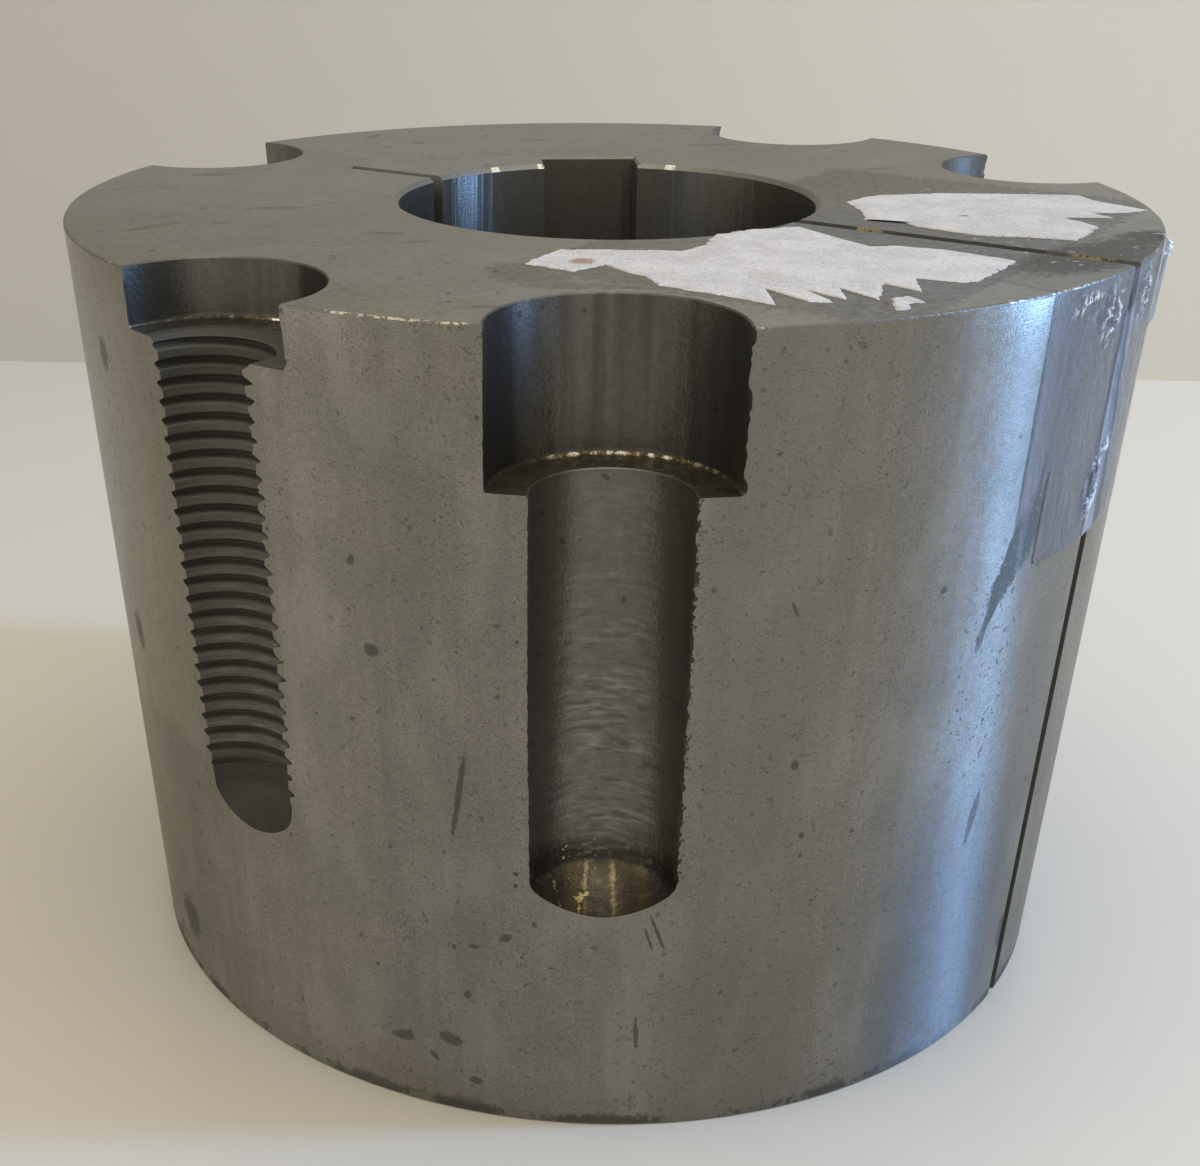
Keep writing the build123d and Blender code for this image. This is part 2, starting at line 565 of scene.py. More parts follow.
def makeGrainGroup():
    # cast iron's own look: slow changes of tone, fine dark graphite flecks, and sparse open pits
    tree, given = openGroup("ironGrain", point=(0, 0, 0), fleckSize=0.45, fleckCover=0.5, pitSpacing=2.4)
    fine = noise(given.point, 1 / given.fleckSize, 1, 0.6)
    mottle = noise(given.point, 0.7, 2, 0.75)
    limit = 0.86 - given.fleckCover * (0.1 + mottle * 0.38)
    cells = addNode(tree, "ShaderNodeTexVoronoi", {"Vector": given.point, "Scale": 1 / given.pitSpacing}, None)
    pitSize = calc("POWER", addNode(tree, "ShaderNodeSeparateColor", {0: cells.Color}), 3) * 0.19
    pit = (pitSize - (cells.Distance + (fine - 0.5) * 0.42)).ramp(0, 0.04)
    tone = noise(given.point, 0.09, 1, 0.62)
    fleck = fine.ramp(limit, limit + 0.09)
    return closeGroup(tree, tone=tone, mottle=mottle, fleck=fleck, pit=pit, relief=fine * 0.8)


def makeLineGroup():
    # fine lines that a tool leaves: noise that changes quickly across them and slowly along them, at two spacings
    tree, given = openGroup("toolLines", across=0, along=0, fineSpacing=0.25, broadSpacing=2.5)
    fine = join(given.across / given.fineSpacing, given.along * 0.05, 0)
    broad = join(given.across / given.broadSpacing, given.along * 0.012, 3.7)
    return closeGroup(tree, fine=noise(fine, 1, 1, 0.75), broad=noise(broad, 1, 3, 0.6))


def makeMarkGroup():
    # one dent or stroke: how far a place lies along two slopes, squared and summed, is below one inside it; added to
    # the marks made before it
    nowhere = (0, 0, 0)
    tree, given = openGroup("roundMark", before=0, place=nowhere, across=nowhere, along=nowhere, ripple=0)
    far = given.ripple
    for slope in (given.across, given.along):
        part = addNode(tree, "ShaderNodeVectorMath", {0: given.place, 1: slope}, "Value", operation="DOT_PRODUCT")
        far = calc("MULTIPLY_ADD", part, part, far)
    return closeGroup(tree, mask=highest(given.before, calc("MULTIPLY_ADD", far, -1.8, 2).clamped()))


def addMarks(place, ripple, marks):
    # chain of marks, each given by its middle, half length, half width and lean; its two slopes are worked out here
    mask = 0
    for x, y, long, wide, lean in marks:
        c, s = aimed(lean)
        across = (c / wide, s / wide, -(c * x + s * y) / wide)
        along = (-s / long, c / long, (s * x - c * y) / long)
        mask = useGroup(markGroup, before=mask, place=place, across=across, along=along, ripple=ripple).mask
    return mask


placeGroup, grainGroup, lineGroup, markGroup = makePlaceGroup(), makeGrainGroup(), makeLineGroup(), makeMarkGroup()


def startMaterial(name, **constants):
    # a Principled material with its plain numbers set on the shader itself, and the place on the bush to work from
    material = bpy.data.materials.new(name)
    material.use_nodes = True
    for key, value in constants.items():
        material.node_tree.nodes["Principled BSDF"].inputs[key.replace("_", " ")].default_value = value
    return material, useGroup(placeGroup, material.node_tree)


def endMaterial(material, colour, relief=None, size=0, **others):
    # feeds the shader its colour, a bump of this size in mm from the relief, and other inputs by name
    shader = material.node_tree.nodes["Principled BSDF"].inputs
    feed(shader["Base Color"], colour)
    if relief:
        feed(shader["Normal"], addNode(relief.tree, "ShaderNodeBump", {"Height": relief, "Distance": size * mm}))
    for name, wire in others.items():
        feed(shader[name], wire)
    return material


# Colours of the bare iron and of what lies on it, and of painted highlights and painted shade
finish = {
    "iron": (0.266, 0.255, 0.218),
    "ironRosy": (0.276, 0.253, 0.224),
    "ironPale": (0.345, 0.335, 0.292),
    "ironDark": (0.18, 0.171, 0.146),
    "graphite": (0.045, 0.042, 0.036),
    "underFilm": (0.056, 0.047, 0.034),
    "streakFootShade": (0.078, 0.081, 0.087),
    "dent": (0.048, 0.044, 0.036),
    "pitFill": (0.02, 0.017, 0.013),
    "stain": (0.06, 0.056, 0.047),
    "oil": (0.2, 0.135, 0.045),
    "oilDark": (0.105, 0.086, 0.058),
    "toolRingAndHighlight": (0.34, 0.315, 0.285),
    "paleGlint": (0.86, 0.8, 0.64),
    "goldGlint": (0.62, 0.5, 0.24),
    "sawn": (0.085, 0.072, 0.05),
    "threadCrest": (0.122, 0.112, 0.09),
    "threadDark": (0.098, 0.09, 0.074),
    "rust": (0.105, 0.075, 0.048),
    "gum": (0.104, 0.093, 0.071),
    "tapeGum": (0.06, 0.066, 0.059),
    "gumPale": (0.155, 0.142, 0.114),
    "bright": (0.62, 0.6, 0.56),
    "brightGold": (0.7, 0.61, 0.43),
    "paper": (0.4, 0.366, 0.326),
    "paperPale": (0.51, 0.47, 0.425),
    "paperShred": (0.55, 0.53, 0.49),
    "fibrePale": (0.74, 0.72, 0.69),
    "fibreDark": (0.3, 0.275, 0.25),
    "paperSpeck": (0.12, 0.11, 0.1),
    "paperStain": (0.24, 0.15, 0.075),
    "film": (0.185, 0.22, 0.285),
    "filmOnEnd": (0.085, 0.078, 0.065),
    "filmFold": (0.34, 0.37, 0.4),
    "filmEdgeAndCreaseShade": (0.03, 0.028, 0.025),
    "filmShine": (0.86, 0.89, 0.9),
}
# Marks in five numbers: two for the middle, then half length, half width (mm) and lean (degrees).
spots = {
    # dents and strokes on the side, their middle by angle and height
    "side": (
        (-152.2, 100.3, 2.4, 1.7, 0), (-155.2, 57.1, 3.2, 2, 8), (-115.9, 70.9, 1, 1.1, 0),
        (-117.5, 82.9, 0.8, 0.6, 0), (-151.5, 9.8, 4, 3.6, -20), (-115, 11, 0.9, 2, 10),
        (-109.6, 12.2, 1.2, 2.2, -15), (-107.1, 5.8, 0.7, 1.2, 0), (-107.6, 20.3, 0.7, 0.6, 0),
        (-51.6, 40, 4.5, 0.9, -10), (-75.9, 56.4, 0.7, 0.6, 0), (-38.9, 12.5, 3.4, 1.4, 0),
        (-111.6, 8.7, 1, 0.5, 40), (-103.5, 30.5, 0.6, 1.1, 30), (-106.8, 28.5, 0.35, 0.9, 0),
        (-108.9, 27.9, 0.4, 0.4, 0), (-90.1, 15.9, 2.8, 0.4, 3), (-89.2, 31.4, 2.2, 0.25, 18),
        (-88.4, 32.5, 3.2, 0.28, 21), (-77.4, 78.5, 1.2, 0.25, 25), (-74.4, 45.5, 0.6, 0.5, 0),
        (-107.9, 51.5, 7.5, 0.45, -9), (-61.7, 77.7, 0.5, 0.6, 0), (60, 80, 1.2, 0.9, 0),
        (95, 40, 3, 0.7, 14), (170, 66, 1.4, 1, 0), (118, 14, 1, 2.4, 0),
    ),
    # grey-green gum beside the tape's torn corner, by angle and height
    "gum": (
        (-50.2, 88.5, 4.5, 0.5, -6), (-51.2, 82, 6, 2.5, -12), (-53.2, 80.3, 5.5, 0.9, -16),
        (-53.5, 76.5, 4.8, 2, -28), (-54.7, 72.5, 3.6, 0.9, -20), (-55.6, 69, 2.4, 0.7, -12),
        (-52, 76.5, 1.5, 0.5, -20),
    ),
    # dark or rusty smears on the large flat end, by x and y; a lean of 90 lies along x
    "end": (
        (-62.5, 22, 4, 1.6, 100), (-38, 63.5, 3, 1, 160), (-50, -8, 5, 1.2, 95),
        (-33, -27, 3.2, 0.9, 78), (-28, -33, 2.6, 0.8, 105), (-66, -22, 5.5, 1, 130),
        (24, 52, 6, 1, 95), (-8, 58, 4, 0.8, 82), (48, 25, 4, 1, 110),
        (-20, -70, 2, 0.7, 90), (-1, -61.5, 3, 0.5, 85),
    ),
    # the label's gum past the corner of its patch, and grime under the tape's end
    "labelGum": ((-14, -53.5, 8, 5.2, 22), (-10.5, -59.5, 6.5, 2, 80), (-5, -60, 4, 1.8, 85)),
    "underTape": ((60.5, -44, 17.5, 6.5, -49), (72, -32, 6, 4, -60)),
}
# Patch of gum that the label left on the large end: its middle out along the split and across it, and half its size
gumPatch = {"out": 43.5, "across": -2, "halfSize": (26.5, 46.5, 1)}


def alongArc(marks):
    # the same marks with their angle turned into a length round the side
    return [(arcAt(angle), *rest) for angle, *rest in marks]


def ironBase(at, fleckSize, fleckCover, pitSpacing, fleckShare=0.5):
    # the bare iron common to every machined face: tone between two greys, darkened by flecks and pits
    grain = useGroup(grainGroup, point=at.point, fleckSize=fleckSize, fleckCover=fleckCover, pitSpacing=pitSpacing)
    share = grain.tone.ramp(0.25, 0.75, 0.1, 0.4) + grain.mottle.ramp(0.3, 0.7, 0, 0.6)
    warm = blend(grain.tone.ramp(0.42, 0.62), finish["iron"], finish["ironRosy"])
    colour = lay(blend(share, finish["ironDark"], warm), "graphite", grain.fleck * fleckShare)
    return lay(colour, "pitFill", grain.pit * 0.62), grain


def distanceTo(at, x, y):
    # distance in mm from an upright line at x, y
    spot = join(at.x, at.y, 0)
    return addNode(spot.tree, "ShaderNodeVectorMath", {0: spot, 1: (x, y, 0)}, "Value", operation="DISTANCE")


def holeDistance(at, angle):
    # distance in mm from the axis of the half-hole at this angle
    return distanceTo(at, *halfHoles["circle"] * aimed(angle))


def makeTurnedSide():
    # fine turned lines with upright fibres over the bare iron, then dirt, dents, gum and crumbs where each lies
    material, at = startMaterial("turnedSide", Anisotropic=0.99, Anisotropic_Rotation=0.25)
    arc, wound, height = at.arc, at.wound, at.height
    # crumbled iron beside the half-holes: close to the edge on the burred side of each, fading within a mm or two
    crumbly = 0
    for kind, radius, share in ((plain, plain["radius"], 1), (tapped, thread["majorRadius"], 0.55)):
        for angle in kind["angles"]:
            near = holeDistance(at, angle).ramp(radius + 1.5, radius + 0.1)
            crumbly = highest(crumbly, near * arc.ramp(arcAt(angle), arcAt(angle) + 1, 0.35 * share, share))
    crumbly = crumbly * height.ramp(34, 44)
    colour, grain = ironBase(at, 0.3, 1, 2.3, 0.34)
    fibres = noise(join(wound * 0.45, height * 0.016, 0), 1, 1, 0.8)
    colour = lay(colour, "ironDark", fibres.ramp(0.3, 0.72, 0, 0.42))
    brushed = noise(join(wound * 0.11, height * 0.045, 8), 1, 1, 0.7)
    colour = lay(colour, "ironPale", brushed.ramp(0.5, 0.66, 0, 0.22))
    lines = useGroup(lineGroup, across=height, along=wound * 5, fineSpacing=0.24, broadSpacing=3)
    # duller stretch to the right of the front hole
    dulled = arc.ramp(arcAt(-88), arcAt(-83), 0, 0.45) * arc.ramp(arcAt(-69), arcAt(-77))
    colour = lay(colour, "ironDark", dulled)
    # painted reflection: a paler stretch on the left that fades away round the back, ending in a line low down
    leftward = wound.ramp(arcAt(-136), arcAt(-148)) * wound.ramp(arcAt(-210), arcAt(-186))
    paintedReflection = leftward * (height + brushed * 6).ramp(46, 51, 0.3, 1)
    colour = lay(colour, "ironPale", paintedReflection * 0.5)
    # dirt towards the foot, with a broken dark seam along the very edge
    level = height.ramp(24, 0, 0.7, 0.56)
    seam = height.ramp(2.9, 0.9, 0, 0.12)
    lowDirt = (grain.tone * 0.6 + grain.mottle * 0.4 + seam).ramp(level, level + 0.09)
    colour = lay(colour, "stain", lowDirt * seam.ramp(0, 0.13, 0.25, 0.75))
    ripple = (noise(at.point, 1.1, 2, 0.65) - 0.5) * 2.2
    unrolled = join(arc, height, 1)
    dents = addMarks(unrolled, ripple, alongArc(spots["side"]))
    colour = lay(colour, "dent", dents * 0.82)
    # streaks of gum, with crumbs of it scattered below them
    gum = addMarks(unrolled, ripple, alongArc(spots["gum"]))
    patchy = (ripple + fibres.ramp(0.3, 0.7, -0.4, 0.4)).ramp(-0.35, 0.1, 0.5, 1)
    gum = (gum * (patchy * 1.25)).clamped()
    below = abs(arc - arcAt(-54)).ramp(8, 4) * abs(height - 64).ramp(24, 12)
    gum = highest(gum, below * (ripple + grain.mottle * 0.8).ramp(0.62, 0.78, 0, 0.75))
    colour = lay(colour, "tapeGum", gum * 0.9)
    crumbs = (ripple * 0.45 + crumbly * 0.24).ramp(0.27, 0.33)
    colour = lay(colour, "pitFill", crumbs * 0.8)
    # painted shade: darker low down across the window's reflection streak, dimming it towards the foot
    streakFootShade = height.ramp(56, 26) * arc.ramp(arcAt(-66), arcAt(-58))
    colour = lay(colour, "streakFootShade", streakFootShade * arc.ramp(arcAt(-38), arcAt(-46), 0, 0.5))
    smears = (grain.mottle + ripple * 0.1).ramp(0.6, 0.74)
    colour = lay(colour, "stain", smears * 0.36)
    dull = highest(lowDirt, dents, gum, grain.fleck, grain.pit)
    rough = height.ramp(80, 15, 0.214, 0.318) + (grain.mottle * 0.1 + dull * 0.16) + gum * 0.35
    return endMaterial(
        material, colour, lines.fine * 1.3 + grain.relief, 0.022,
        Metallic=0.92 - highest(gum * 0.8, dents * 0.65), Roughness=rough + lines.fine * 0.07,
    )


def makeFacedEnd():
    # faced rings and smudges over the bare iron; on the large end also gum, grime and shreds of label
    material, at = startMaterial("facedEnd", Metallic=0.85, Anisotropic=0.4, Anisotropic_Rotation=0.25)
    colour, grain = ironBase(at, 0.5, 0.45, 3)
    lines = useGroup(lineGroup, across=at.radius, along=at.wound, fineSpacing=0.3, broadSpacing=4)
    colour = lay(colour, "ironDark", lines.fine.ramp(0.3, 0.8, 0, 0.2))
    dirt = noise(at.point, 1 / 7, 3, 0.65).ramp(0.61, 0.77)
    ripple = (noise(at.point, 0.9, 3, 0.65) - 0.5) * 2.6
    onEnd = join(at.x, at.y, 1)
    colour = lay(colour, "stain", dirt * 0.3 + at.y.ramp(5, 60, 0, 0.16))
    colour = lay(colour, "rust", addMarks(onEnd, ripple, spots["end"]) * 0.55)
    # gum that the label left: a rectangle with a wavering outline, greyer and duller than the iron
    (c, s), out, across = aimed(bush["splitAngle"]), gumPatch["out"], gumPatch["across"]
    patch = {
        0: onEnd,
        "Location": (out * c - across * s, out * s + across * c, 0),
        "Rotation": (0, 0, math.radians(bush["splitAngle"])),
        "Scale": gumPatch["halfSize"],
    }
    turned = addNode(onEnd.tree, "ShaderNodeMapping", patch, vector_type="TEXTURE")
    sides = addNode(onEnd.tree, "ShaderNodeSeparateXYZ", {0: turned}, None)
    square = highest(abs(sides.X), abs(sides.Y))
    gum = (square + ripple * 0.07).ramp(1.03, 0.99)
    onLargeEnd = at.height.ramp(60, 61)
    gum = highest(gum, addMarks(onEnd, ripple, spots["labelGum"])) * onLargeEnd
    gumTone = blend(grain.mottle.ramp(0.35, 0.65), finish["gum"], finish["gumPale"])
    colour = blend(gum * sides.Y.ramp(0, 0.5, 0.62, 0.4), colour, gumTone)
    grimeAndCreaseShade = addMarks(onEnd, ripple * 0.7, spots["underTape"])
    colour = lay(colour, "underFilm", grimeAndCreaseShade * at.height.ramp(60, 61, 0, 0.8))
    gum = highest(gum, grimeAndCreaseShade * onLargeEnd)
    shreds = gum * (ripple + at.x).ramp(40, 52, 0, grain.mottle.ramp(0.65, 0.69))
    colour = lay(colour, "paperShred", shreds)
    rough = 0.46 + highest(dirt * 0.6, gum) * 0.16
    return endMaterial(material, colour, lines.fine * 0.4 + grain.relief, 0.025, Roughness=rough)


def makeBoredWall():
    # bare iron in upright bands, with fine turned lines, darker inside as painted shade, most in the keyway
    material, at = startMaterial("boredWall", Metallic=0.9, Anisotropic=0.9, Anisotropic_Rotation=0.25)
    colour, grain = ironBase(at, 0.4, 0.4, 3.2)
    around = at.wound + arcAt(360)
    bands = noise(join(around * 0.16, at.height * 0.008, 0), 1, 3, 0.65)
    lines = useGroup(lineGroup, across=at.height, along=around, fineSpacing=0.25, broadSpacing=2)
    colour = lay(colour, "ironDark", bands.ramp(0.35, 0.65, 0.3, 0.6))
    # painted shade: the whole bore darker, and more beyond its radius, in the keyway
    colour = lay(colour, "stain", (at.radius - bore["radius"]).ramp(0.4, 0.8, 0.34, 0.5))
    relief = bands * 9 + (lines.fine + grain.relief)
    return endMaterial(material, colour, relief, 0.02, Roughness=0.25 + bands * 0.1)


def makeDrilledWall():
    # hole walls: dark iron in upright bands; low down, light broken tool rings across each hole's middle as a painted
    # highlight, painted shade to the sides; black sludge, golden oil and painted golden glints at the drill point
    material, at = startMaterial("drilledWall", Metallic=0.85, Anisotropic=0.6, Anisotropic_Rotation=0.25)
    arc, height = at.arc, at.height
    colour, grain = ironBase(at, 0.5, 0.6, 2.6)
    colour = lay(colour, "stain", 0.52)
    bands = noise(join(arc * 0.22, height * 0.01, 0), 1, 2, 0.6)
    inRecess = height.ramp(93, 94.5)
    colour = lay(colour, "graphite", bands.ramp(0.35, 0.62, 0.7, 0.15) * inRecess)
    lines = useGroup(lineGroup, across=height, along=arc * 5, fineSpacing=0.75, broadSpacing=2.2)
    below = 1 - inRecess
    middle, ridge, beaded = 0, 0, 0
    for angle in plain["angles"]:
        sideways = arc - arcAt(angle)
        middle = highest(middle, abs(sideways).ramp(9, 4.5))
        # two drips, 2 mm either side of a line just left of the axis, and a cluster of beads left of them
        drip = abs(abs(sideways + 0.4) - 2) + grain.mottle * 1.6
        ridge = highest(ridge, drip.ramp(1.3, 0.6))
        beaded = highest(beaded, abs(sideways + 4).ramp(3.6, 2))
    # light tool rings, shown only across the middle of each hole as a painted highlight
    ringsAndHighlight = lines.fine.ramp(0.46, 0.68) * lines.broad.ramp(0.38, 0.62, 0.15, 1)
    ringsAndHighlight = ringsAndHighlight * middle * (below * height.ramp(86, 58, 0.35, 1))
    colour = lay(colour, "toolRingAndHighlight", (ringsAndHighlight * 0.44).clamped())
    # painted shade towards each hole's sides
    colour = lay(colour, "ironDark", (1 - middle) * (below * 0.35))
    gaps = lines.fine.ramp(0.44, 0.3) * (below * height.ramp(86, 58, 0.4, 1))
    colour = lay(colour, "graphite", gaps * 0.42)
    ragged = height + (lines.broad - 0.5) * 8
    sludge = ragged.ramp(45.5, 41.5) * grain.mottle.ramp(0.25, 0.5)
    colour = lay(colour, "pitFill", sludge * 0.75)
    point = height.ramp(39.9, 38.6)
    drips = noise(join(arc * 0.3, height * 0.08, 5), 1, 1)
    colour = lay(colour, "stain", point * 0.35)
    colour = lay(colour, "oil", point * middle * drips.ramp(0.42, 0.64, 0.12, 0.4))
    # painted golden glints on the two drips and on the beads
    colour = lay(colour, "goldGlint", point * ridge * 0.42)
    colour = lay(colour, "goldGlint", beaded * height.ramp(43.5, 42.5) * grain.mottle.ramp(0.62, 0.68))
    rough = bands.ramp(0.3, 0.7, 0.34, 0.48) + point * -0.06
    relief = (lines.fine + lines.broad) * below + grain.relief
    return endMaterial(material, colour, relief, 0.06, Roughness=rough)


def makeThreadWall():
    # thread: dull brown crests with paler broken strokes along them as painted highlights, and painted shade in the
    # roots
    material, at = startMaterial("threadWall", Metallic=0.25, Roughness=0.6, Specular_IOR_Level=0.2)
    height = at.height
    nearest = calc("MINIMUM", *(holeDistance(at, angle) for angle in tapped["angles"]))
    # painted shade: darker towards the roots of the thread
    root = nearest.ramp(tapped["radius"] + 0.02, thread["majorRadius"] - 0.45)
    strokes = noise(join(at.arc * 0.3, height * 1.4, 0), 1, 3, 0.7)
    lit = strokes.ramp(0.5, 0.68) * (0.06 + height.ramp(90, 55) * 0.3)
    colour = blend(strokes.ramp(0.3, 0.6), finish["threadDark"], finish["threadCrest"])
    colour = lay(colour, "iron", lit)
    colour = lay(colour, "graphite", root * 0.6)
    colour = lay(colour, "dent", highest(height.ramp(46.5, 44.5, 0, 0.85), height.ramp(95, 102, 0, 0.6)))
    return endMaterial(material, colour, strokes, 0.12)


# Stretches of the rim given wear and painted glints, or left dull: from angle, to angle, and how much is added
wornAndGlintRims = [
    (-119, -105.5, 0.14), (-81, -60, -0.1), (-60, -42, 0.12),
    (63.8, 67.3, 0.3), (102, 107, 0.3), (118.5, 122, 0.3),
]


def makeRimBreak():
    # edge breaks of the rims and the bore: mostly as dull as the end, bright where knocked and where glints are
    # painted
    material, at = startMaterial("rimBreak", Metallic=0.9)
    inner = at.radius.ramp(45, 44)
    # the bore's break is less worn than the rim's, apart from the painted glints listed
    wear = noise(at.point, 0.09, 3, 0.55) - inner * 0.13
    chips = noise(at.point, 1.6, 3, 0.6)
    for first, last, extra in wornAndGlintRims:
        starts = at.arc.ramp(arcAt(first) - 2, arcAt(first) + 2)
        wear = wear + starts * at.arc.ramp(arcAt(last) + 2, arcAt(last) - 2, 0, extra)
    knockedAndGlint = wear.ramp(0.52, 0.62) * (chips + inner * 0.12).ramp(0.44, 0.58)
    knockedAndGlint = knockedAndGlint * highest(inner, at.height.ramp(113.98, 114.1))
    # painted highlight colours: golden glints on the left, white ones on the right
    metal = blend(at.x.ramp(25, -5), finish["bright"], finish["brightGold"])
    colour = blend(knockedAndGlint * 0.9, finish["ironDark"], metal)
    atKey = at.radius.ramp(46, 45) * abs(at.x).ramp(9, 8.6) * at.y.ramp(31, 31.5)
    colour = lay(colour, "graphite", atKey * chips.ramp(0.62, 0.5, 0.4, 0.95))
    return endMaterial(material, colour, chips, 0.12, Roughness=0.34 + wear * 0.2)


def makeSawnWall():
    # the slits' walls: dull and brownish, with painted golden glints close under the large end
    material, at = startMaterial("sawnWall", Metallic=0.55, Roughness=0.5)
    scratch = noise(join(at.x, at.y, at.height * 3), 0.8, 3, 0.65)
    glint = at.height.ramp(112.6, 114) * noise(at.point, 0.8, 3, 0.75).ramp(0.38, 0.5)
    outer, inner = abs(at.radius - 74.5).ramp(3.5, 2), abs(at.radius - 43).ramp(2.5, 1.5)
    glint = glint * highest(outer, inner) * at.y.ramp(-10, -12)
    colour = blend(scratch, finish["sawn"], finish["ironDark"])
    # painted highlight: the relief slot's wall paler near the top
    slotTop = at.height.ramp(110, 113.5) * at.y.ramp(0, 5)
    colour = lay(colour, "ironPale", slotTop * 0.5)
    return endMaterial(material, lay(colour, "goldGlint", glint * 0.9), scratch, 0.08)


def makeOilyFloor():
    # recess floors: dull brown oil, with golden beads and painted pale glints along the corner under the wall
    material, at = startMaterial("oilyFloor", Metallic=0.8)
    beads = noise(at.point, 0.9, 3, 0.7)
    film = noise(at.point, 0.25, 2)
    corner = (at.height - at.height.ramp(99, 101, plain["floor"], tapped["floor"])).ramp(0, 0.12, 0.12, 1)
    # painted highlight: the corner's beads and glints are strongest across each hole's middle and fade to its sides
    middle = 0
    for angle in (*plain["angles"], *tapped["angles"]):
        middle = highest(middle, abs(at.arc - arcAt(angle + 2)).ramp(15, 7, 0.1, 1))
    corner = corner * middle
    colour = blend(film.ramp(0.35, 0.65), finish["stain"], finish["oilDark"])
    colour = lay(colour, "dent", at.height.ramp(99, 101, 0, 0.5))
    colour = lay(colour, "oil", corner * beads.ramp(0.36, 0.5))
    colour = lay(colour, "paleGlint", corner * beads.ramp(0.5, 0.6))
    return endMaterial(material, colour, beads, 0.12, Roughness=beads.ramp(0.4, 0.65, 0.42, 0.24))


# In the order of the zones' numbers
wallMakers = (
    makeTurnedSide, makeFacedEnd, makeBoredWall, makeDrilledWall, makeRimBreak, makeSawnWall, makeOilyFloor,
    makeThreadWall,
)
for make in wallMakers:
    body.data.materials.append(make())
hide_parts("taper_bush")
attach(body, "root")
print("body finished")


# What is left of a paper label that lay across the split. Each station pairs a point on the edge towards the bore
# with one on the edge towards the rim; a point is its distance outwards along the split and its distance
# counter-clockwise from it, in mm.
label = {
    "front": (
        (17.5, -46.8, 18, -46.6), (16.6, -43, 20, -46.4), (16.3, -36.6, 25, -46.6), (18.5, -35, 26, -40.8),
        (21, -33, 30.7, -43), (24, -31, 33.5, -43.3), (26, -29.8, 37.7, -46.8), (28, -28.8, 46.6, -46.8),
        (29, -28.3, 54, -47.6), (29.8, -27.9, 48.8, -40.7), (29.9, -27, 56.5, -43.8), (29.9, -26, 58.6, -42.3),
        (30, -25, 52.3, -38.2), (30, -24, 59.4, -40.3), (30, -23, 56.2, -35.4), (30, -22.2, 62.4, -38),
        (28.5, -18, 59.4, -30), (28, -15, 64.8, -31.2), (30.5, -9, 61.2, -24.7), (34.5, -4.2, 66.8, -23.7),
        (38, -6, 68.2, -22), (41.2, -7.8, 68.1, -19), (46.4, -12.9, 68.1, -16), (51, -8.4, 68, -13),
        (57, -7, 67.9, -10), (67.6, -7.9, 67.8, -8.1),
    ),
    "back": (
        (57, 4.8, 57.8, 5), (48, 5.8, 62.7, 7.4), (43.2, 9.6, 69.6, 9.6), (40.2, 6.2, 69.4, 13),
        (36.5, 12.4, 69, 21), (34, 15, 62.5, 24.6), (31.7, 18, 68.4, 28.8), (32.3, 22, 64.5, 30.5),
        (33, 25, 68.3, 33.2), (40.2, 32.4, 70.7, 37.3), (49.2, 38, 62.4, 40.2), (57.6, 43.1, 58.2, 43.3),
    ),
    "crumb": (
        (66, -41.5, 66.3, -41.6), (64.6, -39, 67.5, -40), (63.2, -36.5, 66, -38), (64, -34.6, 67.2, -36),
        (64.3, -34.4, 64.5, -34.5),
    ),
    "rows": 48,
    "columns": 620,
    "above": 0.03,          # gap to the casting, so that they don't share a surface
    "thickness": 0.16,
    "cockle": 0.1,
    "tear": 0.35,
    "spot": (-7, -46.6),  # the brown stain's x and y
}


def labelScrap(name, stations, seed):
    # ruled sheet between two torn edges: both edges run straight from station to station, shifted by noise along
    # the rulings, and a point is a mix of the two edge points with the same share
    share = np.linspace(0, len(stations) - 1, label["columns"])
    edges = np.stack([np.interp(share, np.arange(len(stations)), column) for column in zip(*stations)], 1)
    inner, outer = edges[:, :2], edges[:, 2:]
    ruling = (outer - inner) / np.maximum(np.hypot(*(outer - inner).T), 0.01)[:, None]
    for edge, number in ((inner, 0), (outer, 1)):
        run = np.cumsum(np.r_[0, np.hypot(*np.diff(edge, axis=0).T)])
        coarse = latticeNoise(run / 0.9, run * 0, seed + number)
        fine = latticeNoise(run / 0.33, run * 0, seed + 9 + number)
        edge += label["tear"] * (1.5 * coarse + fine - 1.25)[:, None] * ruling
    v = np.linspace(0, 1, label["rows"])[:, None]
    along, across = (inner[:, i] * (1 - v) + outer[:, i] * v for i in (0, 1))
    rim = np.minimum(v, 1 - v) * np.hypot(*(outer - inner).T)
    cockle = label["cockle"] * (latticeNoise(across / 4, along / 4, seed + 2) - 0.4) * np.clip(rim / 2, 0, 1)
    z = bush["length"] + label["above"] + label["thickness"] * np.clip(rim / 0.5, 0, 1) + cockle
    c, s = aimed(bush["splitAngle"])
    points = np.stack([along * c - across * s, along * s + across * c, z], -1).reshape(-1, 3)
    return meshPiece(name, points, gridQuads(*z.shape)[:, ::-1])


